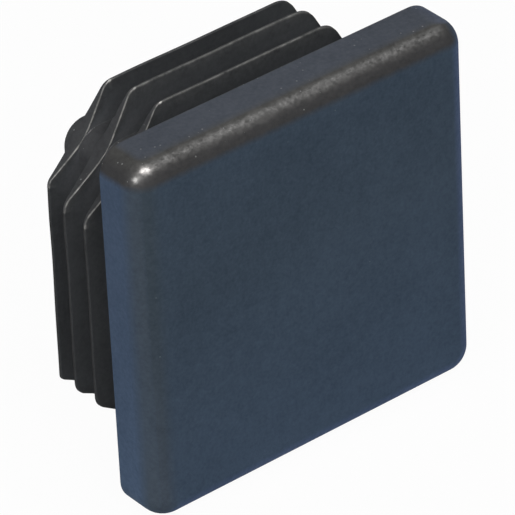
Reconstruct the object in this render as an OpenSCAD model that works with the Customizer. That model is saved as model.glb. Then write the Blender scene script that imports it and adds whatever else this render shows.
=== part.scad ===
// Push-in end cap for square strut channel: a thick square plate with softly rounded front edges,
// on a hollow square core that carries a row of wedge-shaped gripping ribs, notched at the corners.
// The origin is the centre of the seat, the back of the plate that meets the cut end of the channel.
// +Y runs into the channel and +Z is up, so the face that stays in view looks along -Y.

/* [Channel] */
// Outside width of the channel, which the plate covers flush
channel_w = 41; // [34:0.5:60]
// Wall thickness of the channel
channel_wall = 2.5; // [1.5:0.1:3]

/* [Plate] */
// Thickness of the plate
plate_t = 5.8; // [4.2:0.1:10]
// Rounding of the plate's front edges
edge_r = 2.7; // [0.5:0.1:2.8]
// Radius of the plate's four corners, seen from the front
corner_r = 2.9; // [2.8:0.1:6]

/* [Core] */
// Gap between the core and the inside of the channel, where the ribs bend
core_gap = 2.9; // [2:0.1:4]
// Radius of the core's four corners
core_corner_r = 2.6; // [1.5:0.1:5]
// Wall thickness of the core
core_wall = 1.8; // [1:0.1:3]
// Radius of the hollow's four corners
hollow_corner_r = 1; // [1:0.1:3]
// Thickness of plate left in front of the hollow
face_t = 2.8; // [1.5:0.1:4]
// Rounding of the edge between the hollow's walls and its floor
hollow_floor_r = 0.8; // [0.1:0.1:1]
// Length of core behind the root of the last rib
core_tail = 0.9; // [0.7:0.05:3]
// Rounding of the core's rear edge
core_end_r = 0.7; // [0.1:0.05:0.7]

/* [Ribs] */
// Number of ribs along the core
rib_count = 3; // [1:1:6]
// Distance from one rib to the next
rib_pitch = 3.5; // [2.8:0.1:6]
// Gap between the seat and the flat face of the first rib
rib_gap = 3.6; // [2:0.1:6]
// How far a rib's edge stands past the inside of the channel before it bends
rib_grip = 1.85; // [0.5:0.05:2.4]
// How much lower the last rib is at the top and bottom, so that the cap finds its way in
rib_lead = 0.5; // [0:0.1:1.5]
// How much lower the last rib is at the two sides
rib_side_lead = 1; // [0:0.1:1.5]
// Thickness of a rib at its edge
rib_tip_t = 0.3; // [0.2:0.05:0.8]
// Slope of a rib's rear face, in degrees
rib_slope = 13; // [5:1:18]
// Fillet where a rib's rear face runs into the core
rib_root_r = 0.7; // [0.3:0.1:1.2]
// Rounding of the ends of a rib's edge
rib_end_r = 1.8; // [0.5:0.1:3]
// Lean of the corner notches' sides, in degrees
notch_lean = 32; // [15:1:40]

/* [Hidden] */
$fn = 96;

// Segments in the arcs of the ribs' outlines and root fillets
arc_steps = 8;
// How far the point of a corner notch lies under the core's surface
notch_sink = 0.1;
// How far a root fillet is let into the core and the rib
root_bite = 0.3;
// How far a root fillet's curve dips under the rib's slope where they meet
root_sink = 0.02;
// How far a cut runs past the face that it opens
cut_over = 1;

inside_half = channel_w / 2 - channel_wall;
core_half = inside_half - core_gap;
core_straight = core_half - core_corner_r;
hollow_half = core_half - core_wall;
// The core's corner crosses the diagonal here, and the notches run down to it
core_corner = core_straight + core_corner_r * sqrt(0.5);
notch_point = core_corner - notch_sink;
last_rib = rib_count - 1;
core_l = rib_place(last_rib) + max([for (half = rib_halves(last_rib)) root_h(half)]) + core_tail;

// Distance of a rib's flat face from the seat, counting from the plate
function rib_place(i) = rib_gap + i * rib_pitch;

// Half the width across a rib's edges: between its sides, and between its top and bottom
function rib_halves(i) =
    let (full = inside_half + rib_grip)
    i < last_rib ? [full, full] : [full - rib_side_lead, full - rib_lead];

// Thickness of a rib at a distance out from the core's axis
function rib_t(half, out) = rib_tip_t + (half - out) * tan(rib_slope);

// Height on the core at which the root fillet behind a rib ends
function root_h(half) =
    rib_t(half, core_half + rib_root_r) + rib_root_r / cos(rib_slope) - root_sink;

function arc(centre, r, from, to) = [
    for (i = [0 : arc_steps])
        let (angle = from + (to - from) * i / arc_steps)
            centre + r * [cos(angle), sin(angle)]
];

// Outline of a rib along one side of the core, from one notch to the next
function rib_edge(half) =
    let (
        turn = 90 - notch_lean,
        straight = notch_point - (half - notch_point) * tan(notch_lean),
        end_x = straight - rib_end_r * tan(turn / 2),
        end_y = half - rib_end_r
    )
    concat(
        [[-notch_point, notch_point]],
        arc([-end_x, end_y], rib_end_r, 90 + turn, 90),
        arc([end_x, end_y], rib_end_r, 90, 90 - turn)
    );

function quarter_turns(p, n) = n == 0 ? p : quarter_turns([p[1], -p[0]], n - 1);

// Section of a slab from its middle out to one edge, rounded at the bottom
module slab_section(reach, soft_r, t) {
    intersection() {
        square([reach, t]);
        union() {
            translate([0, soft_r])
                square([reach, t - soft_r]);
            square([reach - soft_r, t]);
            translate([reach - soft_r, soft_r])
                circle(soft_r);
        }
    }
}

// Square slab with round corners, its lower edges rounded all the way round
module soft_slab(half, round_r, soft_r, t) {
    straight = half - round_r;
    for (turn = [0, 90])
        rotate([90, 0, turn])
            linear_extrude(2 * straight, center = true)
                for (side = [0, 1])
                    mirror([side, 0])
                        slab_section(half, soft_r, t);
    for (turn = [0 : 90 : 270])
        rotate(turn)
            translate([straight, straight, 0])
                rotate_extrude(angle = 90)
                    slab_section(round_r, soft_r, t);
}

module plate() {
    translate([0, 0, -plate_t])
        soft_slab(channel_w / 2, corner_r, edge_r, plate_t);
}

// Two opposite sides of a rib, in full length: flat towards the plate and sloped behind
module rib_wedge(half, length) {
    rotate([90, 0, 0])
        linear_extrude(2 * length, center = true)
            polygon([
                [-half, 0], [half, 0], [half, rib_tip_t],
                [0, rib_t(half, 0)], [-half, rib_tip_t]
            ]);
}

// Section of the fillet behind a rib, from the core's surface outwards
module root_section(half) {
    curve = arc([rib_root_r, root_h(half)], rib_root_r, 270 - rib_slope, 180);
    foot = curve[0] - [0, root_bite];
    polygon(concat(curve, [[-root_bite, root_h(half)], [-root_bite, foot[1]], foot]));
}

// The fillet follows the core's sides, and turns its round corners
module root_fillet(half) {
    for (turn = [0 : 90 : 270])
        rotate(turn) {
            translate([core_half, 0, 0])
                rotate([90, 0, 0])
                    linear_extrude(2 * core_straight, center = true)
                        root_section(half);
            translate([core_straight, core_straight, 0])
                rotate_extrude(angle = 90)
                    translate([core_corner_r, 0])
                        root_section(half);
        }
}

module rib(halves) {
    intersection() {
        union() {
            intersection() {
                rib_wedge(halves[0], halves[1]);
                rotate(90)
                    rib_wedge(halves[1], halves[0]);
            }
            root_fillet(min(halves));
        }
        linear_extrude(root_h(max(halves)))
            polygon([
                for (n = [0 : 3])
                    each [for (p = rib_edge(halves[(n + 1) % 2])) quarter_turns(p, n)]
            ]);
    }
}

module plug() {
    translate([0, 0, core_l])
        mirror([0, 0, 1])
            soft_slab(core_half, core_corner_r, core_end_r, core_l);
    for (i = [0 : last_rib])
        translate([0, 0, rib_place(i)])
            rib(rib_halves(i));
}

module hollow() {
    floor_z = face_t - plate_t;
    translate([0, 0, floor_z])
        soft_slab(hollow_half, hollow_corner_r, hollow_floor_r, core_l - floor_z + cut_over);
}

// Built with the seat level and the plug upwards, then laid over so that the plug points along +Y
module end_cap() {
    color([0.17, 0.19, 0.22])
        rotate([-90, 0, 0])
            difference() {
                union() {
                    plate();
                    plug();
                }
                hollow();
            }
}

end_cap();
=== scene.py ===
"""Dresses the push-in end cap for square strut channel: the moulding, its plastic, and the studio."""

import math

import bpy
from bpy.props import (
    FloatProperty,
    FloatVectorProperty,
    IntProperty,
    PointerProperty,
)
from mathutils import Matrix, Vector


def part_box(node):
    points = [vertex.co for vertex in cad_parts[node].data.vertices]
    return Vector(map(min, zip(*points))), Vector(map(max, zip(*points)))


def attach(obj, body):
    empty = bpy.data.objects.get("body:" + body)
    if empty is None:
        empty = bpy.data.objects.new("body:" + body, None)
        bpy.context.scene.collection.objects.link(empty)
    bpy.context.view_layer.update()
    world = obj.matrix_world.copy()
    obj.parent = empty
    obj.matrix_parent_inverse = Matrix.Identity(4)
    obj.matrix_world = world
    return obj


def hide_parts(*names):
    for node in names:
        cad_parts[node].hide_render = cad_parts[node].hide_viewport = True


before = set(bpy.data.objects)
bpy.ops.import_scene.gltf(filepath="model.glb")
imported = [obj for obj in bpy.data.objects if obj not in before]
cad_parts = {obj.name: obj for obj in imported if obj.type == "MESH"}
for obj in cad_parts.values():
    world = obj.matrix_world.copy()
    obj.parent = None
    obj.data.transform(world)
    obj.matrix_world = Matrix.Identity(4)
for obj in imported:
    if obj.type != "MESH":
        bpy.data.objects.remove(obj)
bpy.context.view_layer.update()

bl_info = {
    "name": "Strut channel end cap",
    "version": (1, 0, 0),
    "blender": (4, 5, 0),
    "location": "3D View > Sidebar > End cap",
    "description": "Builds a ribbed push-in end cap in moulded plastic, and a studio to look at it in",
    "category": "Object",
}

MM = 0.001
NODE = "end_cap"
BODY = "root"

cap_low, cap_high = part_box(NODE)

# Steps along one side of every ring, from one corner to the next: a rib's flank, the round end of
# its edge, the edge itself, and the same again the other way
FLANK_STEPS = 6
END_STEPS = 8
EDGE_STEPS = 12
SIDE_STEPS = 2 * (FLANK_STEPS + END_STEPS) + EDGE_STEPS
SIDES = 4
# Steps in the roundings of the plate's front, of the hollow's floor and of the core's end, in the
# small breaks of edges, in a rib's root, and down its sloped back
FRONT_STEPS = 12
FLOOR_STEPS = 6
CORE_END_STEPS = 5
BREAK_STEPS = 3
ROOT_STEPS = 6
SLOPE_STEPS = 4
# Where the rings of a flat face lie, as shares of its size
FACE_RINGS = (0.25, 0.5, 0.75, 0.98)
# How the points of a notch's flank crowd towards its bottom
FLANK_CROWDING = 1.4
# Where the outer rings of a rib's flat face and sloped back lie, as shares of its height
FACE_MIDDLE = 0.75
FACE_END = 0.97
# How much of a rib's height its edge break takes at most, its root on the sloped back, and the front root
BREAK_LIMIT = 0.35
ROOT_LIMIT = 0.55
FRONT_ROOT_LIMIT = 0.5
# Where the ring on a rib's edge lies: so much of the edge's thickness behind the front break, and at least
# so many breaks before the rear corner
EDGE_RING = 0.3
EDGE_RING_LIMIT = 1.5
# How many breaks in front of the seat's outer edge, and in from it, the rings beside its break lie
BEFORE_SEAT = 2
INSIDE_SEAT = 4
# Where an edge folds more than this it stays sharp
SHARP = math.radians(38)
# Points closer than this, in metres, are one
WELD = 2e-6
# How much painted highlight a rib's edges have, for the top, right, bottom and left side in turn: the
# flank and the bend at the side's first end, the same at its second end, going clockwise, and the flat
# edge between
EDGE_HIGHLIGHTS = (
    ((0.66, 1.6), (0.1, 0.0), 0.44),
    ((0.88, 0.25), (0.88, 0.25), 0.0),
    ((0.66, 0.3), (0.66, 0.3), 0.44),
    ((0.1, 0.0), (0.88, 0.9), 0.0),
)
# Where on a bend the painted glint spot lies, as a share of its steps, and how quickly it fades
SPOT_PLACE = 0.82
SPOT_FADE = 5
# How much wider the edge break is there
SPOT_BREAK = 0.25
# How much of the front edge's painted highlight the faces beside it have, and the edge's rear corner
BESIDE_HIGHLIGHT = 0.2
REAR_HIGHLIGHT = 0.15
# By what share an edge is thicker than usual where its rear corner has no painted highlight any more
THICK_EDGE = 0.5


def length(name, description, mm):
    """A size in the panel, given in millimetres."""
    return FloatProperty(
        name=name,
        description=description,
        default=mm * MM,
        min=0,
        precision=5,
        unit="LENGTH",
    )


def angle(name, description, degrees):
    """An angle in the panel, given in degrees."""
    return FloatProperty(
        name=name,
        description=description,
        default=math.radians(degrees),
        subtype="ANGLE",
    )


def linear(level):
    """A screen level from 0 to 255 as the linear light that a shader works in."""
    part = level / 255
    return part / 12.92 if part <= 0.04045 else ((part + 0.055) / 1.055) ** 2.4


def colour(name, description, *levels):
    """A colour in the panel, given in screen levels from 0 to 255."""
    return FloatVectorProperty(
        name=name,
        description=description,
        default=[linear(level) for level in levels],
        min=0,
        max=1,
        size=3,
        subtype="COLOR",
    )


def bow(name, description, side_mm, top_mm, end_mm=0.0):
    """How far the middle of a rib's edges is bowed out: at the two sides, and at the top and bottom.

    Between the two stands how far the left end of its top edge is drawn in, or, below zero, how far
    the lower end of its left edge has dropped.
    """
    return FloatVectorProperty(
        name=name,
        description=description,
        default=(side_mm * MM, end_mm * MM, top_mm * MM),
        size=3,
        precision=5,
        subtype="XYZ",
        unit="LENGTH",
    )


def share(name, description, default):
    """A plain number in the panel."""
    return FloatProperty(name=name, description=description, default=default, min=0)


class CapSizes(bpy.types.PropertyGroup):
    """Sizes of the moulding. The outer ones come from the frame."""

    plate_width: length("Plate width", "Width of the square plate", (cap_high.x - cap_low.x) / MM)
    plate_thickness: length("Plate thickness", "From the front face to the seat", -cap_low.y / MM)
    front_round: length("Front rounding", "Radius of the plate's front edges", 2.7)
    corner_round: length("Corner rounding", "Radius of the plate's corners, seen from the front", 2.9)
    core_width: length("Core width", "Width of the square core", 30.2)
    core_round: length("Core rounding", "Radius of the core's corners", 2.6)
    core_length: length("Core length", "From the seat to the core's rear end", cap_high.y / MM)
    end_round: length("Core end rounding", "Radius of the core's rear edge", 0.7)
    hollow_width: length("Hollow width", "Width of the hollow in the core", 26.6)
    hollow_round: length("Hollow rounding", "Radius of the hollow's corners", 1.0)
    front_wall: length("Front wall", "Thickness of plate in front of the hollow", 2.8)
    floor_round: length("Hollow floor rounding", "Radius between the hollow's walls and floor", 0.8)
    rib_count: IntProperty(name="Ribs", description="Number of ribs", default=3, min=2, max=6)
    first_rib: length("First rib", "From the seat to the first rib's flat face", 3.6)
    rib_pitch: length("Rib pitch", "From one rib to the next", 3.5)
    rib_width: length("Rib width", "Width across a rib's edges", 39.7)
    last_height: length("Last rib height", "Height across the last rib's edges", 38.7)
    last_width: length("Last rib width", "Width across the last rib's edges", 38.0)
    rib_edge: length("Rib edge", "Thickness of a rib at its edge", 0.3)
    rib_slope: angle("Rib slope", "Slope of a rib's rear face", 13)
    root_round: length("Rib root rounding", "Radius behind a rib where it meets the core", 0.7)
    rib_end_round: length("Rib end rounding", "Radius at the ends of a rib's edges", 1.8)
    top_left_round: length("Top left rounding", "The same at the left end of its top edge", 1.25)
    top_right_round: length("Top right rounding", "The same at the right end of its top edge", 2.8)
    last_end_round: length("Last rib end rounding", "The same at the last rib's two sides", 1.1)
    rib_sag: length("Rib sag", "How far a rib's lower corners stand out of true", 0.14)
    last_sag: length("Last rib sag", "The same at the last rib", 0.5)
    first_bow: bow("First rib bow", "How far its edges bow out in the middle", 0.15, 0.02, 0.42)
    middle_bow: bow("Middle rib bow", "The same at those between first and last", -0.14, 0.2, -0.25)
    last_bow: bow("Last rib bow", "The same at the last rib", -0.09, 0.17, -0.24)
    front_root: length("Rib front root", "Radius in front of a rib where it meets the core", 0.02)
    notch_lean: angle("Notch lean", "Lean of the notches' sides at the top and bottom", 30.2)
    side_lean: angle("Side notch lean", "The same at the two sides", 32.6)
    notch_depth: length("Notch depth", "How far a notch runs under the core's corner", 0.1)
    notch_lip: length("Notch lip", "What is left of a rib's front edge at the bottom of a notch", 0.15)
    notch_fillet: length("Notch fillet", "The same at its rear edge, which runs into the core", 0.36)
    edge_break: length("Edge break", "Rounding of a rib's thin edge", 0.09)
    seat_break: length("Seat break", "Rounding of the plate's back edge and the hollow's mouth", 0.12)
    rib_wander: length("Rib wander", "How far a rib's edge strays from a straight line", 0.08)


class CapFinish(bpy.types.PropertyGroup):
    """The moulded plastic, with its painted light and shade."""

    # Black plastic painted slate blue: a painted bluish reflection over its own dark colour
    plate_colour: colour("Plate", "Colour of the plate's front", 57, 69, 82)
    # Painted floor bounce: the front bluer and lighter towards its lower edge
    floor_bounce_colour: colour("Plate foot", "Colour of the front towards its lower edge", 61, 75, 92)
    # Painted light and bluish reflection: the sides lighter and bluer than the front
    side_lit_colour: colour("Plate sides", "Colour of the plate's sides", 65, 79, 99)
    # Painted floor bounce on the sides
    side_bounce_colour: colour("Side foot", "Colour of the sides towards their lower edge", 69, 85, 107)
    shade_colour: colour("Rounding shade", "Colour of the left rounding towards the front", 53, 62, 69)
    shade_low_colour: colour("Shade foot", "The same towards its lower end", 62, 69, 77)
    # Painted bluish reflection on the right and bottom roundings
    fringe_reflection_colour: colour("Fringe", "Colour of the right and bottom roundings", 76, 91, 122)
    # Painted reflection on the crest of the left rounding
    crest_reflection_colour: colour("Roundings", "Colour of the left rounding towards the side", 62, 66, 65)
    # Painted overhead light: the roundings that face up neutral grey, lighter where they run out into the
    # top
    shoulder_lit_colour: colour("Shoulder", "Colour of the plate's roundings that face up", 59, 59, 60)
    upper_lit_colour: colour("Upper shoulder", "The same where they run out into the top", 71, 71, 70)
    # Painted overhead light on the top, lighter at the corner where it turns down to the right
    top_lit_colour: colour("Top", "Colour of the plate where it faces straight up", 79, 84, 93)
    corner_lit_colour: colour("Top corner", "The same where it turns down to the right", 94, 101, 120)
    plug_colour: colour("Plug", "Colour of the core and of the ribs' edges and backs", 65, 66, 68)
    rib_colour: colour("Rib faces", "Colour of the ribs' flat faces at their edges", 63, 65, 67)
    # Painted fill light: the ribs' flat faces lighter towards the core, against the shade between the ribs
    root_fill_colour: colour("Rib roots", "Colour of the ribs' flat faces towards the core", 82, 84, 87)
    # Painted shade on the ribs' edges at the sides, which don't face up
    rim_shade_colour: colour("Rib rims", "Colour of the ribs' edges at the two sides", 51, 51, 52)
    # Painted highlights along the rib edges
    edge_highlight_colour: colour("Edges", "Colour of the rubbed rib edges", 160, 159, 155)
    # Painted glints at the bends of the rib edges
    bend_glint_colour: colour("Bare edges", "Colour of the edges where they are rubbed most", 245, 243, 238)
    dust_colour: colour("Dust", "Colour of the dust specks", 150, 152, 152)
    roughness: share("Roughness", "Roughness of the moulded surface", 0.33)
    gloss: share("Gloss", "How much of a full gloss the moulded skin has", 0.05)
    grain: share("Grain", "Depth of the moulded grain", 0.5)


class StudioSettings(bpy.types.PropertyGroup):
    """The stage and its lights."""

    floor_colour: colour("Floor", "Colour of the floor", 240, 240, 240)
    world_strength: share("World", "Strength of the light from all round", 0.45)
    top_power: share("Top light", "Power of the soft light overhead, in watts", 1.6)
    left_power: share("Left light", "Power of the soft light on the left, in watts", 1.0)
    glint_power: share("Glint light", "Power of the lights that only gloss shows, in watts", 1700.0)


class Wire:
    """A socket in a sum: each operator adds a Math node and gives that node's output."""

    def __init__(self, graph, socket):
        self.graph = graph
        self.socket = socket

    def __add__(self, other):
        return self.graph.math("ADD", self, other)

    def __sub__(self, other):
        return self.graph.math("SUBTRACT", self, other)

    def __rsub__(self, other):
        return self.graph.math("SUBTRACT", other, self)

    def __mul__(self, other):
        return self.graph.math("MULTIPLY", self, other)

    __radd__ = __add__
    __rmul__ = __mul__


class Graph:
    """A node tree that is written as expressions."""

    def __init__(self, tree):
        self.tree = tree
        tree.nodes.clear()

    def node(self, kind, settings=None, sockets=None, out=0):
        """Adds a node, its settings first, then the values or links of its sockets."""
        node = self.tree.nodes.new(kind)
        for name, value in (settings or {}).items():
            setattr(node, name, value)
        for name, value in (sockets or {}).items():
            values = value if isinstance(value, list) else [value]
            for one in values:
                if isinstance(one, Wire):
                    self.tree.links.new(one.socket, node.inputs[name])
                else:
                    node.inputs[name].default_value = one
        return Wire(self, node.outputs[out]) if len(node.outputs) else node

    def math(self, operation, first, second):
        """Adds a Math node."""
        return self.node("ShaderNodeMath", {"operation": operation}, {0: first, 1: second})

    def clamp(self, value):
        """Keeps a value between 0 and 1."""
        return self.node("ShaderNodeClamp", {}, {"Value": value})

    def rise(self, value, start, slope):
        """Rises from 0 to 1 past a start. With a slope below zero, it does so before the start."""
        return self.clamp((value - start) * slope)

    def attribute(self, name):
        """A number that is stored on the mesh's points."""
        return self.node("ShaderNodeAttribute", {"attribute_name": name}, out="Fac")

    def vector(self, operation, first, second):
        """Adds a Vector Math node."""
        return self.node("ShaderNodeVectorMath", {"operation": operation}, {0: first, 1: second})

    def scaled(self, vector, scale):
        """A vector times a number."""
        sockets = {0: vector, "Scale": scale}
        return self.node("ShaderNodeVectorMath", {"operation": "SCALE"}, sockets)

    def blend(self, factor, first, second, kind="MIX"):
        """Mixes two colours, each a link or a colour of the panel."""
        ends = [end if isinstance(end, Wire) else (*end, 1) for end in (first, second)]
        settings = {"data_type": "RGBA", "blend_type": kind}
        return self.node("ShaderNodeMix", settings, {0: factor, 6: ends[0], 7: ends[1]}, out=2)

    def looked_at(self):
        """1 where the camera sees a surface itself, or in gloss or through glass, and 0 for light."""
        kinds = ("Is Camera Ray", "Is Glossy Ray", "Is Transmission Ray")
        seen, gloss, through = [self.node("ShaderNodeLightPath", out=kind) for kind in kinds]
        return seen + gloss + through

    def noise(self, place, scale, detail, roughness):
        """Soft noise with about as many spots per unit as the scale says."""
        sockets = {"Vector": place, "Scale": scale, "Detail": detail, "Roughness": roughness}
        return self.node("ShaderNodeTexNoise", {}, sockets)


def turned(side, along, out):
    """A point of one side, as x and z: the top, right, bottom and left side in turn."""
    x, z = along, out
    for _ in range(side):
        x, z = z, -x
    return x, z


def rib_ends(sizes, sides_round):
    """Radii at the two ends of a rib's edges, for each side in turn."""
    soft = sizes.rib_end_round
    upper = (sizes.top_left_round, sizes.top_right_round)
    return [upper, (sides_round, sides_round), (soft, soft), (sides_round, sides_round)]


def rib_end(half, foot, lean, soft):
    """Half of a side of a rib's outline: a notch's flank, and the bend into the edge."""
    turn = math.pi / 2 - lean
    shoulder = foot - (half - foot) * math.tan(lean)
    reach = shoulder - soft * math.tan(turn / 2)
    rise = half - soft
    end = []
    for step in range(END_STEPS + 1):
        bend = math.pi / 2 + turn * (1 - step / END_STEPS)
        end.append(
            (
                -reach + soft * math.cos(bend),
                rise + soft * math.sin(bend),
            )
        )
    flank = []
    for step in range(FLANK_STEPS):
        up = (step / FLANK_STEPS) ** FLANK_CROWDING
        flank.append((-foot + (end[0][0] + foot) * up, foot + (end[0][1] - foot) * up))
    return flank + end


def rib_side(sizes, side, half, ends):
    """One side of a rib's outline from a notch to the next, as distances along and out."""
    lean = (sizes.notch_lean, sizes.side_lean)[side % 2]
    straight = sizes.core_width / 2 - sizes.core_round
    foot = straight + sizes.core_round * math.sqrt(0.5) - sizes.notch_depth
    near, mirrored = [rib_end(half, foot, lean, soft) for soft in ends]
    far = [(-along, out) for along, out in reversed(mirrored[1:])]
    start, stop = near[-1][0], far[0][0]
    edge = [(start + (stop - start) * step / EDGE_STEPS, half) for step in range(1, EDGE_STEPS)]
    return near + edge + far


def full_side(sizes, side):
    """One side of the outline that all ribs but the last have."""
    return rib_side(sizes, side, sizes.rib_width / 2, rib_ends(sizes, sizes.rib_end_round)[side])


def along_bend(step):
    """How far a step lies along the bend from a notch's flank to a rib's flat edge, which is at 1."""
    return max(0, min(step, SIDE_STEPS - step) - FLANK_STEPS) / END_STEPS


def bend_spot(step):
    """How near a step lies to the spot on a bend that has the most painted highlight, a painted glint."""
    return max(0, 1 - abs(along_bend(step) - SPOT_PLACE) * SPOT_FADE)


def edge_highlight(side, step, last):
    """How much painted highlight a rib's front edge has, from the flanks of the notches to its flat edge.
    """
    first_end, second_end, flat = EDGE_HIGHLIGHTS[side]
    flank, bend = first_end if step < SIDE_STEPS / 2 else second_end
    if last:
        flat = 0
    return flat + (flank - flat) * max(0, 1 - along_bend(step)) + bend * bend_spot(step)


def standing(gap, lip):
    """A rib's height over the core, run out softly to a lip where a notch cuts it down."""
    return (gap + math.sqrt(gap * gap + 4 * lip * lip)) / 2


def core_foot(sizes, along, out):
    """The nearest point of the core's side, the way out from it, and the distance."""
    core = sizes.core_width / 2
    straight = core - sizes.core_round
    if abs(along) <= straight:
        return (along, core), (0.0, 1.0), out - core
    centre = math.copysign(straight, along)
    way = Vector((along - centre, out - straight))
    distance = way.length - sizes.core_round
    way.normalize()
    foot = (centre + way.x * sizes.core_round, straight + way.y * sizes.core_round)
    return foot, (way.x, way.y), distance


def soft_square(sizes, half, corner):
    """A square with round corners, as x and z, its points in step with the ribs' outline."""
    straight = half - corner
    first, last = FLANK_STEPS, SIDE_STEPS - FLANK_STEPS
    points = []
    for side in range(SIDES):
        marks = full_side(sizes, side)
        for step in range(SIDE_STEPS):
            if first <= step <= last:
                local = (marks[step][0] / marks[last][0] * straight, half)
            else:
                centre = -straight if step < first else straight
                bend = 135 - 45 * step / first if step < first else 90 - 45 * (step - last) / first
                local = (
                    centre + corner * math.cos(math.radians(bend)),
                    straight + corner * math.sin(math.radians(bend)),
                )
            points.append(turned(side, *local))
    return points


def core_ring(sizes, inset=0.0):
    """The core's outline, its points under those of a rib, drawn in by a distance."""
    points = []
    for side in range(SIDES):
        for along, out in full_side(sizes, side):
            foot, way, _ = core_foot(sizes, along, out)
            points.append(turned(side, foot[0] - way[0] * inset, foot[1] - way[1] * inset))
    return points


def root_end(sizes, halves):
    """How far behind a rib's flat face its root runs out on the core."""
    height = min(halves) - sizes.core_width / 2 - sizes.root_round
    thick = sizes.rib_edge + height * math.tan(sizes.rib_slope)
    return thick + sizes.root_round / math.cos(sizes.rib_slope)


def quarter(steps):
    """Angles from 0 to 90 degrees."""
    return [math.pi / 2 * step / steps for step in range(steps + 1)]


def rib_rings(sizes, halves, ends, last=False):
    """Rings of one rib, from the bare strip of core in front of it to the end of its root.

    A point is its place, how much painted highlight it has, and its height as a share of the rib's.
    """
    full = [sizes.rib_width / 2] * 2
    root = root_end(sizes, halves)
    strip = sizes.rib_pitch - root_end(sizes, full)
    fall = math.tan(sizes.rib_slope)
    columns = []
    for side in range(SIDES):
        half = halves[side % 2]
        marks = zip(full_side(sizes, side), rib_side(sizes, side, half, ends[side]))
        for step, (mark, (along, out)) in enumerate(marks):
            foot, way, _ = core_foot(sizes, *mark)
            _, _, gap = core_foot(sizes, along, out)
            stand = Vector((along - foot[0], out - foot[1]))
            height = standing(gap, sizes.notch_lip)
            rear = standing(gap, sizes.notch_fillet)
            if gap < sizes.notch_lip:
                stand = Vector(way)
            stand.normalize()

            def back(up):
                """How far behind the flat face the rib's back lies at a height."""
                wedge = sizes.rib_edge + (half - foot[1] - stand.y * up) * fall
                if up >= sizes.root_round:
                    return wedge
                reach = sizes.root_round**2 - (sizes.root_round - up) ** 2
                return max(wedge, root - math.sqrt(reach))

            soft = min(sizes.edge_break * (1 + SPOT_BREAK * bend_spot(step)), BREAK_LIMIT * height)
            crest = height - soft
            rear_crest = rear - soft
            thick = back(rear)
            lit_edge = edge_highlight(side, step, last)
            extra = max(0.0, thick - sizes.rib_edge) / (THICK_EDGE * sizes.rib_edge)
            rear_highlight = REAR_HIGHLIGHT * lit_edge * max(0.0, 1 - extra)
            root_front = min(sizes.front_root, FRONT_ROOT_LIMIT * crest)
            column = [(0, -strip, 0)]
            for bend in quarter(BREAK_STEPS):
                up, before = root_front * (1 - math.cos(bend)), root_front * (1 - math.sin(bend))
                column.append((up, -before, 0))
            column.append((FACE_MIDDLE * crest, 0, 0))
            column.append((FACE_END * crest, 0, BESIDE_HIGHLIGHT * min(1, lit_edge)))
            for bend in quarter(BREAK_STEPS):
                column.append((crest + soft * math.sin(bend), soft - soft * math.cos(bend), lit_edge))
            middle = min(soft + EDGE_RING * sizes.rib_edge, thick - EDGE_RING_LIMIT * soft)
            column.append((height, middle, rear_highlight))
            for bend in quarter(BREAK_STEPS):
                up = rear_crest + soft * math.cos(bend)
                column.append((up, thick - soft + soft * math.sin(bend), rear_highlight))
            low = min(sizes.root_round * (1 - math.sin(sizes.rib_slope)), ROOT_LIMIT * rear_crest)
            slope_top = FACE_END * rear_crest
            for fall_step in range(SLOPE_STEPS):
                up = slope_top + (low - slope_top) * fall_step / SLOPE_STEPS
                column.append((up, back(up), BESIDE_HIGHLIGHT * rear_highlight if fall_step == 0 else 0))
            widest = math.acos(1 - low / sizes.root_round)
            for root_step in range(ROOT_STEPS):
                up = sizes.root_round * (1 - math.cos(widest * (1 - root_step / ROOT_STEPS)))
                column.append((up, back(up), 0))
            column.append((0, root, 0))
            ring_points = []
            for up, depth, rubbed in column:
                x, z = turned(side, foot[0] + stand.x * up, foot[1] + stand.y * up)
                ring_points.append(((x, depth, z), rubbed, min(1, up / height)))
            columns.append(ring_points)
    return [list(ring) for ring in zip(*columns)]


def sagged(sizes, ring, sag):
    """A ring of a rib, its lower corners let out as a thin rib stays when it leaves the mould."""
    points = []
    for (x, depth, z), rubbed, up in ring:
        out = sag * up * (min(z, 0) / (sizes.last_height / 2)) ** 2
        points.append(((x * (1 + 2 * out / sizes.last_width), depth, z - out), rubbed, up))
    return points


def ring_at(points, depth, rubbed=0.0):
    """A ring of the shell, all at one depth."""
    return [((x, depth, z), rubbed, 0.0) for x, z in points]


def scaled(points, factor):
    """An outline drawn in towards its middle."""
    return [(x * factor, z * factor) for x, z in points]


def front_rings(sizes):
    """Rings from the middle of the front face round the plate and down to the first strip of core."""
    half = sizes.plate_width / 2
    soft = sizes.front_round
    small = sizes.seat_break
    face = soft_square(sizes, half - soft, sizes.corner_round - soft)
    rings = [ring_at(scaled(face, part), -sizes.plate_thickness) for part in FACE_RINGS]
    for bend in quarter(FRONT_STEPS):
        out = soft * (math.sin(bend) - 1)
        outline = soft_square(sizes, half + out, sizes.corner_round + out)
        rings.append(ring_at(outline, -sizes.plate_thickness + soft * (1 - math.cos(bend))))
    rim = soft_square(sizes, half, sizes.corner_round)
    rings += [ring_at(rim, soft - sizes.plate_thickness + small), ring_at(rim, -BEFORE_SEAT * small)]
    for bend in quarter(BREAK_STEPS):
        drawn = small * (math.cos(bend) - 1)
        outline = soft_square(sizes, half + drawn, sizes.corner_round + drawn)
        rings.append(ring_at(outline, small * (math.sin(bend) - 1)))
    inside = INSIDE_SEAT * small
    rings.append(ring_at(soft_square(sizes, half - inside, sizes.corner_round - inside), 0))
    rings.append(ring_at(core_ring(sizes), 0))
    full = [sizes.rib_width / 2] * 2
    rings.append(ring_at(core_ring(sizes), sizes.first_rib - sizes.rib_pitch + root_end(sizes, full)))
    return rings


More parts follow.
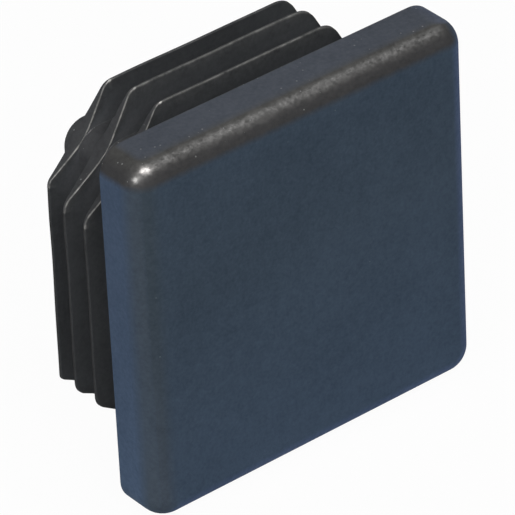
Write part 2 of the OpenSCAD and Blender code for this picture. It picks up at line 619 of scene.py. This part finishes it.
def rear_rings(sizes):
    """Rings from the last rib's root round the core's end and down to the middle of the hollow."""
    end = sizes.core_length
    last = sizes.first_rib + (sizes.rib_count - 1) * sizes.rib_pitch
    rings = [ring_at(core_ring(sizes), last + root_end(sizes, last_halves(sizes)))]
    for bend in quarter(CORE_END_STEPS):
        drawn = sizes.end_round * (1 - math.cos(bend))
        rings.append(ring_at(core_ring(sizes, drawn), end + sizes.end_round * (math.sin(bend) - 1)))
    half = sizes.hollow_width / 2
    small = sizes.seat_break
    for bend in quarter(BREAK_STEPS):
        out = small * (1 - math.sin(bend))
        outline = soft_square(sizes, half + out, sizes.hollow_round + out)
        rings.append(ring_at(outline, end - small * (1 - math.cos(bend))))
    floor = sizes.front_wall - sizes.plate_thickness
    for bend in quarter(FLOOR_STEPS):
        drawn = sizes.floor_round * (1 - math.cos(bend))
        outline = soft_square(sizes, half - drawn, sizes.hollow_round - drawn)
        rings.append(ring_at(outline, floor + sizes.floor_round * (1 - math.sin(bend))))
    low = soft_square(sizes, half - sizes.floor_round, sizes.hollow_round - sizes.floor_round)
    rings += [ring_at(scaled(low, part), floor) for part in reversed(FACE_RINGS)]
    return rings


def last_halves(sizes):
    """Half the last rib's height and width."""
    return [sizes.last_height / 2, sizes.last_width / 2]


def lofted(name, strips, closed=False):
    """A mesh object from strips of rings. A closed one starts and ends with a fan round a point."""
    points, faces, rubbed, share_up = [], [], [], []

    def add(point):
        points.append(point[0])
        rubbed.append(point[1])
        share_up.append(point[2])
        return len(points) - 1

    for number, rings in enumerate(strips):
        rows = [[add(point) for point in ring] for ring in rings]
        for row, following in zip(rows, rows[1:]):
            for here, there in zip(range(len(row)), [*range(1, len(row)), 0]):
                faces.append((row[here], row[there], following[there], following[here]))
        if closed and number == 0:
            middle = add(((0, rings[0][0][0][1], 0), 0, 0))
            row = rows[0]
            faces += [(middle, there, here) for here, there in zip(row, row[1:] + row[:1])]
        if closed and number == len(strips) - 1:
            middle = add(((0, rings[-1][0][0][1], 0), 0, 0))
            row = rows[-1]
            faces += [(middle, here, there) for here, there in zip(row, row[1:] + row[:1])]
    mesh = bpy.data.meshes.new(name)
    mesh.from_pydata(points, [], faces)
    mesh.attributes.new("rubbed", "FLOAT", "POINT").data.foreach_set("value", rubbed)
    mesh.attributes.new("height", "FLOAT", "POINT").data.foreach_set("value", share_up)
    piece = bpy.data.objects.new(name, mesh)
    bpy.context.collection.objects.link(piece)
    return piece


# A rib's wander: its changes per metre, how much of it runs across, along and up, and its strength
WANDER_SCALE = 95.0
WANDER_SHARES = (1.0, 0.6, 1.0)
WANDER_GAIN = 4
# Where the ends of a rib's edges start, as shares of half its width, and how steeply they come in: the
# left end of the top edge by height and by width, and the lower end of the left edge by width and height
UPPER_END_HEIGHT = (0.66, 6)
UPPER_END_WIDTH = (0, -3)
LOWER_END_WIDTH = (-0.88, -13)
LOWER_END_HEIGHT = (-0.3, -4)


def rib_row():
    """The tree that sets a row of ribs on the shell: all alike, but for the lower last one."""
    tree = bpy.data.node_groups.new("rib_row", "GeometryNodeTree")
    kinds = {
        "Shell": "Geometry",
        "Rib": "Object",
        "Ribs": "Int",
        "First rib": "Float",
        "Pitch": "Float",
        "Half width": "Float",
        "First bow": "Vector",
        "Middle bow": "Vector",
        "Last bow": "Vector",
        "Wander": "Float",
        "Weld": "Float",
        "Plastic": "Material",
    }
    for name, kind in kinds.items():
        tree.interface.new_socket(name, in_out="INPUT", socket_type="NodeSocket" + kind)
    tree.interface.new_socket("Cap", in_out="OUTPUT", socket_type="NodeSocketGeometry")
    graph = Graph(tree)
    entry = tree.nodes.new("NodeGroupInput")
    given = {name: Wire(graph, entry.outputs[name]) for name in kinds}

    def depth(value):
        """A vector along the core."""
        return graph.node("ShaderNodeCombineXYZ", {}, {"Y": value})

    def named(name, kind):
        """Reads what is stored on the points."""
        return graph.node("GeometryNodeInputNamedAttribute", {"data_type": kind}, {"Name": name})

    def stored(geometry, name, kind, value):
        """Stores a value on the points."""
        return graph.node(
            "GeometryNodeStoreNamedAttribute",
            {"data_type": kind, "domain": "POINT"},
            {"Geometry": geometry, "Name": name, "Value": value},
        )

    def axis(vector, name):
        """One part of a vector."""
        return graph.node("ShaderNodeSeparateXYZ", {}, {0: vector}, out=name)

    rib = graph.node("GeometryNodeObjectInfo", {}, {"Object": given["Rib"]}, out="Geometry")
    more = given["Ribs"] - 1
    line = graph.node(
        "GeometryNodeMeshLine",
        {},
        {
            "Count": more,
            "Start Location": depth(given["First rib"]),
            "Offset": depth(given["Pitch"]),
        },
    )
    further = graph.clamp(graph.node("GeometryNodeInputIndex"))
    row_bow = graph.node(
        "ShaderNodeMix",
        {"data_type": "VECTOR"},
        {0: further, 4: given["First bow"], 5: given["Middle bow"]},
        out=1,
    )
    bent = stored(line, "bow", "FLOAT_VECTOR", row_bow)
    row = graph.node("GeometryNodeInstanceOnPoints", {}, {"Points": bent, "Instance": rib})
    lower = graph.node(
        "GeometryNodeSetPosition", {}, {"Geometry": rib, "Offset": named("lead", "FLOAT_VECTOR")}
    )
    # The last rib takes its own painted edge highlights
    last_lit_edges = stored(lower, "rubbed", "FLOAT", named("last_wear", "FLOAT"))
    last_bent = stored(last_lit_edges, "bow", "FLOAT_VECTOR", given["Last bow"])
    last = graph.node(
        "GeometryNodeTransform",
        {},
        {"Geometry": last_bent, "Translation": depth(given["First rib"] + given["Pitch"] * more)},
    )
    whole = graph.node("GeometryNodeJoinGeometry", {}, {0: [given["Shell"], row, last]})
    solid = graph.node("GeometryNodeRealizeInstances", {}, {0: whole})
    place = graph.node("GeometryNodeInputPosition")
    drift = graph.node(
        "ShaderNodeTexNoise", {}, {"Vector": place, "Scale": WANDER_SCALE, "Detail": 1.0}, out="Color"
    )
    centred = graph.vector("SUBTRACT", drift, (0.5, 0.5, 0.5))
    flat = graph.vector("MULTIPLY", centred, WANDER_SHARES)
    stands = named("height", "FLOAT")
    stray = graph.scaled(flat, given["Wander"] * stands * WANDER_GAIN)
    # A rib bows most in the middle of each edge, and not at the corners
    across = graph.math("DIVIDE", axis(place, "X"), given["Half width"])
    upright = graph.math("DIVIDE", axis(place, "Z"), given["Half width"])
    bows = named("bow", "FLOAT_VECTOR")
    sideways = axis(bows, "X") * across * across * across * (1 - upright * upright) * stands
    upwards = axis(bows, "Z") * upright * upright * upright * (1 - across * across) * stands
    ends = axis(bows, "Y")
    upper_end = graph.rise(upright, *UPPER_END_HEIGHT) * graph.rise(across, *UPPER_END_WIDTH)
    lower_end = graph.rise(across, *LOWER_END_WIDTH) * graph.rise(upright, *LOWER_END_HEIGHT)
    drawn = graph.clamp(ends) * upper_end * stands
    dropped = graph.clamp(0 - ends) * lower_end * stands
    bulge = graph.node("ShaderNodeCombineXYZ", {}, {"X": sideways + drawn, "Z": upwards - dropped})
    shift = graph.vector("ADD", stray, bulge)
    moved = graph.node("GeometryNodeSetPosition", {}, {"Geometry": solid, "Offset": shift})
    welded = graph.node(
        "GeometryNodeMergeByDistance", {}, {"Geometry": moved, "Distance": given["Weld"]}
    )
    dressed = graph.node(
        "GeometryNodeSetMaterial", {}, {"Geometry": welded, "Material": given["Plastic"]}
    )
    graph.node("NodeGroupOutput", {}, {"Cap": dressed})
    return tree


# The plastic's patterns: spots per millimetre, detail and roughness
CLOUDS = (0.09, 2.0, 0.5)
MOTTLE = (0.9, 3.0, 0.6)
GRAIN = (2.6, 2.0, 0.6)
FINE_GRAIN = (8.5, 1.0, 0.5)
# How much the clouds, the mottle, the grain and the fine grain change the tone, the painted edge
# highlight, the roughness and the gloss, and how strong the painted highlight on a highlit edge is without
# them
TONE_CHANGES = (0.3, 0.25, 0.3, 0)
HIGHLIGHT_CHANGES = (0, 1.7, 0.8, 0)
ROUGHNESS_CHANGES = (0, 0.16, 0, 0)
GLOSS_CHANGES = (0.8, 1.6, 3.1, 1.6)
HIGHLIGHT_LEVEL = 0.6
# How much rougher dust is, and how much smoother a highlit edge
DUST_ROUGHNESS = 0.3
HIGHLIT_SMOOTHING = 0.1
# Depth of the moulded grain, and how much of it the coarser grain makes
GRAIN_DEPTH = 0.06 * MM
GRAIN_SHARE = 0.7
# Where each painted light and shade tone of the plastic starts, and how steeply it comes in: by the way
# that a surface faces, from -1 to 1, by height in millimetres for the painted floor bounce at the foot,
# and by a rib's own height for its painted rim shade
FOOT = (5, -0.045)
LOWEST = (0.7, 1)
CREST = (0.55, 6)
CREST_FRONT = (0, 2.2)
SHADE = (0, 2.4)
SHADE_END = (0.72, -8)
FRINGE = (0.14, 1.9)
FRINGE_FRONT = (0, 1.6)
FRINGE_TOP = (0, 1.5)
SHOULDER = (0.08, 4)
SHOULDER_END = (0.3, 2)
UPPER = 0.55
TOP = (0.93, 14)
TOP_CORNER = (0, 1.4)
# Painted fill light at the ribs' roots, and painted shade on their rims at the sides
ROOT = (1, -1.5)
RIM = (0.9, 10)
RIM_TOP = (0.3, -5)
# Strengths of those painted tones
AWAY_SIDE = 0.9
CREST_STRENGTH = 0.4
SHADE_STRENGTH = 0.75
SHOULDER_MOTTLE = 0.1
UPPER_SLOPES = (3, 8)
TOP_TURN = 0.5
# Dust: its cells per millimetre; what share of them hold a speck at least, and how many more where they
# face up; the least radius of a speck and what chance adds to it, as shares of a cell; how sharp its
# choice and its edge are; and how far it hides what is under it
DUST_SCALE = 1.7
DUST_SHARE = 0.012
DUST_UPWARD = 0.3
SPECK_RADIUS = 0.1
SPECK_CHOICE = 60
SPECK_EDGE = 20
SPECK_COVER = 0.45


def plate_painted_light(graph, finish, facing, height, mottle):
    """Colour of the plate, by the way that its surface faces and by height, with painted light and shade:
    painted bluish reflections on the front and sides, bluer and lighter towards the bottom for painted
    floor bounce, a painted reflection on the crest of the left rounding and painted shade towards the
    front, a painted bluish reflection on the right and bottom roundings, and painted overhead light on
    what faces up.
    """
    upward, forward, leftward = facing
    rightward = graph.clamp(leftward * -1)
    # Painted floor bounce: bluer and lighter towards the bottom
    low = graph.rise(height, *FOOT)
    front = graph.blend(low, finish.plate_colour, finish.floor_bounce_colour)
    side = graph.blend(low, finish.side_lit_colour, finish.side_bounce_colour)
    # Painted light and bluish reflection: the sides, and what faces right or down, take the side colour
    away = rightward + graph.clamp(0 - upward - graph.clamp(leftward))
    sideways = graph.clamp(1 - forward + away * AWAY_SIDE)
    turning = graph.blend(sideways, front, side)
    # Painted reflection on the crest of the left rounding
    strength = (1 + graph.rise(low, *LOWEST)) * CREST_STRENGTH
    rounded = graph.rise(leftward, *CREST) * graph.rise(forward, *CREST_FRONT) * strength
    crest = graph.blend(rounded, turning, finish.crest_reflection_colour)
    shaded = graph.rise(leftward, *SHADE) * graph.rise(leftward, *SHADE_END) * SHADE_STRENGTH
    shade = graph.blend(low, finish.shade_colour, finish.shade_low_colour)
    shady = graph.blend(shaded, crest, shade)
    # Painted bluish reflection on the right and bottom roundings
    below = 1 - graph.rise(upward, *FRINGE_TOP)
    fringe = graph.rise(away, *FRINGE) * graph.rise(forward, *FRINGE_FRONT) * below
    slate = graph.blend(fringe, shady, finish.fringe_reflection_colour)
    # Painted overhead light: what faces up turns neutral grey, lighter where it runs out into the top
    uneven = upward + (mottle - 0.5) * SHOULDER_MOTTLE
    overhead_lit = graph.rise(uneven, *SHOULDER) * (1 - graph.rise(rightward, *SHOULDER_END))
    slope, right_slope = UPPER_SLOPES
    run_out = graph.rise(upward, UPPER, slope + rightward * right_slope)
    dark = graph.blend(run_out, finish.shoulder_lit_colour, finish.upper_lit_colour)
    shoulder = graph.blend(overhead_lit, slate, dark)
    # Painted overhead light on the top, lighter at the corner that turns down to the right
    level = graph.rise(upward + rightward * (1 - forward) * TOP_TURN, *TOP)
    lit = graph.blend(graph.rise(rightward, *TOP_CORNER), finish.top_lit_colour, finish.corner_lit_colour)
    return graph.blend(level, shoulder, lit)


def plug_tones(graph, finish, facing):
    """Colour of the core and the ribs, by the way that they face and by height over the core: the ribs'
    flat faces painted lighter towards the core as fill light against the shade between them, and painted
    shade on their edges at the sides.
    """
    upward, forward, _ = facing
    stands = graph.attribute("height")
    # Painted fill light: the ribs' flat faces lighter towards the core, against the shade between the ribs
    face = graph.blend(graph.rise(stands, *ROOT), finish.rib_colour, finish.root_fill_colour)
    # Painted shade on the ribs' edges at the sides, where they don't face up
    rim = graph.rise(stands, *RIM) * graph.rise(upward, *RIM_TOP)
    back = graph.blend(rim, finish.plug_colour, finish.rim_shade_colour)
    return graph.blend(forward, back, face)


def dust_specks(graph, spot, upward):
    """1 on specks of dust, which lie most on what faces up."""
    cells = {"Vector": spot, "Scale": DUST_SCALE, "Randomness": 1.0}
    nearest = graph.node("ShaderNodeTexVoronoi", {}, cells)
    drawn = graph.node("ShaderNodeTexVoronoi", {}, cells, out="Color")
    draw = graph.node("ShaderNodeSeparateColor", {}, {0: drawn}, out="Red")
    size = graph.node("ShaderNodeSeparateColor", {}, {0: drawn}, out="Green")
    settled = graph.clamp(upward) * DUST_UPWARD + DUST_SHARE
    chosen = graph.rise(draw + settled, 1, SPECK_CHOICE)
    return chosen * graph.rise(nearest, (size + 1) * SPECK_RADIUS, -SPECK_EDGE)


def moulded_plastic(finish):
    """Black plastic off a spark-eroded mould, with painted light: slate on the plate from a painted bluish
    reflection, with painted light and shade by the way it faces, neutral on the plug, and painted
    highlights on the rib edges.
    """
    material = bpy.data.materials.new("moulded_plastic")
    material.use_nodes = True
    graph = Graph(material.node_tree)
    place = graph.node("ShaderNodeTexCoord", out="Object")
    spot = graph.scaled(place, 1 / MM)
    height = graph.node("ShaderNodeSeparateXYZ", {}, {0: spot}, out="Z")
    patterns = [graph.noise(spot, *pattern) for pattern in (CLOUDS, MOTTLE, GRAIN, FINE_GRAIN)]
    _, mottle, grain, fine = patterns
    upward = graph.attribute("upward")
    facing = (upward, graph.clamp(graph.attribute("forward")), graph.attribute("leftward"))

    def varied(level, changes):
        """A level that the patterns change, each by its own share."""
        for pattern, change in zip(patterns, changes):
            if change:
                level = level + (pattern - 0.5) * change
        return level

    plate = plate_painted_light(graph, finish, facing, height, mottle)
    base = graph.blend(graph.attribute("plate"), plug_tones(graph, finish, facing), plate)
    toned = graph.blend(1.0, base, varied(1, TONE_CHANGES), "MULTIPLY")
    # Painted highlights along the rib edges, and painted glints at the bends where they pass 1
    rubbed = graph.attribute("rubbed")
    lit_edge = graph.clamp(rubbed * varied(HIGHLIGHT_LEVEL, HIGHLIGHT_CHANGES))
    edge = graph.blend(graph.rise(rubbed, 1, 1), finish.edge_highlight_colour, finish.bend_glint_colour)
    highlighted = graph.blend(lit_edge, toned, edge)
    speck = dust_specks(graph, spot, upward)
    dusty = graph.blend(speck * SPECK_COVER, highlighted, finish.dust_colour)

    relief = grain * GRAIN_SHARE + fine * (1 - GRAIN_SHARE)
    bump = graph.node(
        "ShaderNodeBump", {}, {"Strength": finish.grain, "Distance": GRAIN_DEPTH, "Height": relief}
    )
    sheen = varied(finish.roughness, ROUGHNESS_CHANGES) + speck * DUST_ROUGHNESS - rubbed * HIGHLIT_SMOOTHING
    skin = varied(1, GLOSS_CHANGES)
    shader = graph.node(
        "ShaderNodeBsdfPrincipled",
        {},
        {
            "Base Color": dusty,
            "Roughness": graph.clamp(sheen),
            "Normal": bump,
            "Specular IOR Level": 0.0,
            "Coat Weight": graph.clamp(skin * (1 - speck) * finish.gloss),
            "Coat Roughness": finish.roughness,
        },
    )
    graph.node("ShaderNodeOutputMaterial", {}, {"Surface": shader})
    return material


class CAP_OT_moulding(bpy.types.Operator):
    """Builds the end cap: the plate, the hollow core and its row of notched ribs"""

    bl_idname = "cap.moulding"
    bl_label = "Moulding"

    def execute(self, context):
        sizes = context.scene.cap_sizes
        full = [sizes.rib_width / 2] * 2
        straight = rib_rings(sizes, full, rib_ends(sizes, sizes.rib_end_round))
        rings = [sagged(sizes, ring, sizes.rib_sag) for ring in straight]
        last_ends = rib_ends(sizes, sizes.last_end_round)
        straight = rib_rings(sizes, last_halves(sizes), last_ends, last=True)
        lower = [sagged(sizes, ring, sizes.last_sag) for ring in straight]
        rib = lofted("rib", [rings])
        shift = [
            low - high
            for ring, lead in zip(rings, lower)
            for point, led in zip(ring, lead)
            for high, low in zip(point[0], led[0])
        ]
        rib.data.attributes.new("lead", "FLOAT_VECTOR", "POINT").data.foreach_set("vector", shift)
        last_wear = [rubbed for ring in lower for _, rubbed, _ in ring]
        rib.data.attributes.new("last_wear", "FLOAT", "POINT").data.foreach_set("value", last_wear)
        # The strip of core in front of the last rib starts where the rib before it ends
        lead = rib.data.attributes["lead"].data
        for number in range(len(rings[0])):
            lead[number].vector = (0, 0, 0)

        cap = lofted("end_cap_moulding", [front_rings(sizes), rear_rings(sizes)], closed=True)
        modifier = cap.modifiers.new("Ribs", "NODES")
        tree = rib_row()
        modifier.node_group = tree
        values = {
            "Rib": rib,
            "Ribs": sizes.rib_count,
            "First rib": sizes.first_rib,
            "Pitch": sizes.rib_pitch,
            "Half width": sizes.rib_width / 2,
            "First bow": sizes.first_bow,
            "Middle bow": sizes.middle_bow,
            "Last bow": sizes.last_bow,
            "Wander": sizes.rib_wander,
            "Weld": WELD,
            "Plastic": moulded_plastic(context.scene.cap_finish),
        }
        for socket in tree.interface.items_tree:
            if socket.name in values:
                modifier[socket.identifier] = values[socket.name]
        graph = context.evaluated_depsgraph_get()
        mesh = bpy.data.meshes.new_from_object(cap.evaluated_get(graph), depsgraph=graph)
        cap.modifiers.remove(modifier)
        cap.data = mesh
        bpy.data.objects.remove(rib)
        for face in mesh.polygons:
            face.use_smooth = True
        mesh.set_sharp_from_angle(angle=SHARP)
        # The way each point faces, which the plastic reads to paint its light and shade
        normals = [normal.vector for normal in mesh.vertex_normals]
        facings = {
            "upward": [way.z for way in normals],
            "forward": [-way.y for way in normals],
            "leftward": [-way.x for way in normals],
        }
        # The plate's outer surfaces are 1: its front, and its sides outside the hollow's mouth
        mouth = sizes.hollow_width / 2 + sizes.seat_break
        behind = 0.5 * sizes.front_wall - sizes.plate_thickness
        places = [point.co for point in mesh.vertices]
        facings["plate"] = [
            float(at.y < behind or (at.y < 0 and max(abs(at.x), abs(at.z)) > mouth)) for at in places
        ]
        for name, facing in facings.items():
            mesh.attributes.new(name, "FLOAT", "POINT").data.foreach_set("value", facing)
        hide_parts(NODE)
        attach(cap, BODY)
        return {"FINISHED"}


# The photograph's view: the camera's place, and the way to its right, up and back
CAMERA_PLACE = (-0.286861, -0.370369, 0.311893)
CAMERA_RIGHT = (0.774577, -0.631045, -0.042568)
CAMERA_UP = (0.378243, 0.408230, 0.830831)
CAMERA_BACK = (-0.506915, -0.659644, 0.554894)
CAMERA_LENS = 404.4
SENSOR = 36
# Half the floor's width in metres, and how much of it the camera sees as plain white
FLOOR_HALF = 3.0
FLOOR_WHITE = 0.96
WHITE = (1, 1, 1)
# The soft lights: the way to each from the cap, its distance and size in metres
KEY_LIGHT = ((-0.35, -0.75, 0.85), 0.7, (0.5, 0.5))
LEFT_LIGHT = ((-1.0, -0.4, 0.4), 0.7, (0.4, 0.4))
# The lights that only gloss shows: the same, a share of their common power, and a tint. They make the
# highlight along the plate's top edge and the glints on its upper left corner.
GLINT_LIGHTS = {
    "edge_glint": ((-0.1, -0.45, 0.88), 1.6, (1.15, 0.5), 0.66, (1, 0.955, 0.925)),
    "edge_strip": ((0.507, -0.3, 0.815), 1.6, (1.0, 0.3), 0.032, WHITE),
    "corner_glint": ((-0.805, -0.361, 0.47), 1.6, (0.52, 0.52), 0.18, (1, 0.98, 0.95)),
}


def lamp(name, way, reach, size, power, tint, gloss_only=False):
    """A soft oval light that looks at the cap from a distance."""
    light = bpy.data.lights.new(name, "AREA")
    light.shape = "ELLIPSE"
    light.size, light.size_y = size
    light.energy = power
    light.color = tint
    stand = bpy.data.objects.new(name, light)
    back = Vector(way).normalized()
    stand.location = back * reach
    stand.rotation_mode = "QUATERNION"
    stand.rotation_quaternion = back.to_track_quat("Z", "Y")
    stand.visible_diffuse = not gloss_only
    bpy.context.collection.objects.link(stand)


class CAP_OT_stage(bpy.types.Operator):
    """Sets the floor, the lights and the camera"""

    bl_idname = "cap.stage"
    bl_label = "Stage"

    def execute(self, context):
        studio = context.scene.cap_studio
        scene = context.scene
        mesh = bpy.data.meshes.new("floor")
        ways = ((-1, -1), (1, -1), (1, 1), (-1, 1))
        corners = [(x * FLOOR_HALF, y * FLOOR_HALF, cap_low.z) for x, y in ways]
        mesh.from_pydata(corners, [], [(0, 1, 2, 3)])
        floor = bpy.data.objects.new("floor", mesh)
        context.collection.objects.link(floor)
        paint = bpy.data.materials.new("floor_paint")
        paint.use_nodes = True
        graph = Graph(paint.node_tree)
        matt = graph.node("ShaderNodeBsdfDiffuse", {}, {"Color": (*studio.floor_colour, 1)})
        white = graph.node("ShaderNodeEmission", {}, {"Color": (*WHITE, 1), "Strength": 1.0})
        share_white = graph.looked_at() * FLOOR_WHITE
        shown = graph.node("ShaderNodeMixShader", {}, {0: share_white, 1: matt, 2: white})
        graph.node("ShaderNodeOutputMaterial", {}, {"Surface": shown})
        mesh.materials.append(paint)

        world = bpy.data.worlds.new("studio")
        world.use_nodes = True
        graph = Graph(world.node_tree)
        around = studio.world_strength + graph.looked_at() * (1 - studio.world_strength)
        sky = graph.node("ShaderNodeBackground", {}, {"Color": (*WHITE, 1), "Strength": around})
        graph.node("ShaderNodeOutputWorld", {}, {"Surface": sky})
        scene.world = world

        lamp("key_light", *KEY_LIGHT, studio.top_power, WHITE)
        lamp("left_light", *LEFT_LIGHT, studio.left_power, WHITE)
        for name, (way, reach, size, part, tint) in GLINT_LIGHTS.items():
            lamp(name, way, reach, size, part * studio.glint_power, tint, gloss_only=True)

        lens = bpy.data.cameras.new("camera")
        lens.lens = CAMERA_LENS
        lens.sensor_width = SENSOR
        camera = bpy.data.objects.new("camera", lens)
        context.collection.objects.link(camera)
        turn = Matrix((CAMERA_RIGHT, CAMERA_UP, CAMERA_BACK)).transposed().to_4x4()
        camera.matrix_world = Matrix.Translation(CAMERA_PLACE) @ turn
        scene.camera = camera
        scene.view_settings.view_transform = "Standard"
        return {"FINISHED"}


class CAP_PT_panel(bpy.types.Panel):
    """Lists the sizes, the finish and the builders"""

    bl_idname = "CAP_PT_panel"
    bl_label = "End cap"
    bl_space_type = "VIEW_3D"
    bl_region_type = "UI"
    bl_category = "End cap"

    def draw(self, context):
        layout = self.layout
        for name in GROUPS:
            settings = getattr(context.scene, name)
            box = layout.box()
            for key in type(settings).__annotations__:
                box.prop(settings, key)
        for operator in OPERATORS:
            layout.operator(operator.bl_idname)


GROUPS = {"cap_sizes": CapSizes, "cap_finish": CapFinish, "cap_studio": StudioSettings}
OPERATORS = (CAP_OT_moulding, CAP_OT_stage)


def register():
    """Adds the settings, the builders and the panel."""
    for name, group in GROUPS.items():
        bpy.utils.register_class(group)
        setattr(bpy.types.Scene, name, PointerProperty(type=group))
    for kind in (*OPERATORS, CAP_PT_panel):
        bpy.utils.register_class(kind)


def unregister():
    """Takes them away again."""
    for kind in (CAP_PT_panel, *reversed(OPERATORS)):
        bpy.utils.unregister_class(kind)
    for name, group in reversed(GROUPS.items()):
        delattr(bpy.types.Scene, name)
        bpy.utils.unregister_class(group)


def main():
    register()
    bpy.ops.cap.moulding()
    bpy.ops.cap.stage()
    bpy.context.view_layer.update()


if __name__ == "__main__":
    main()
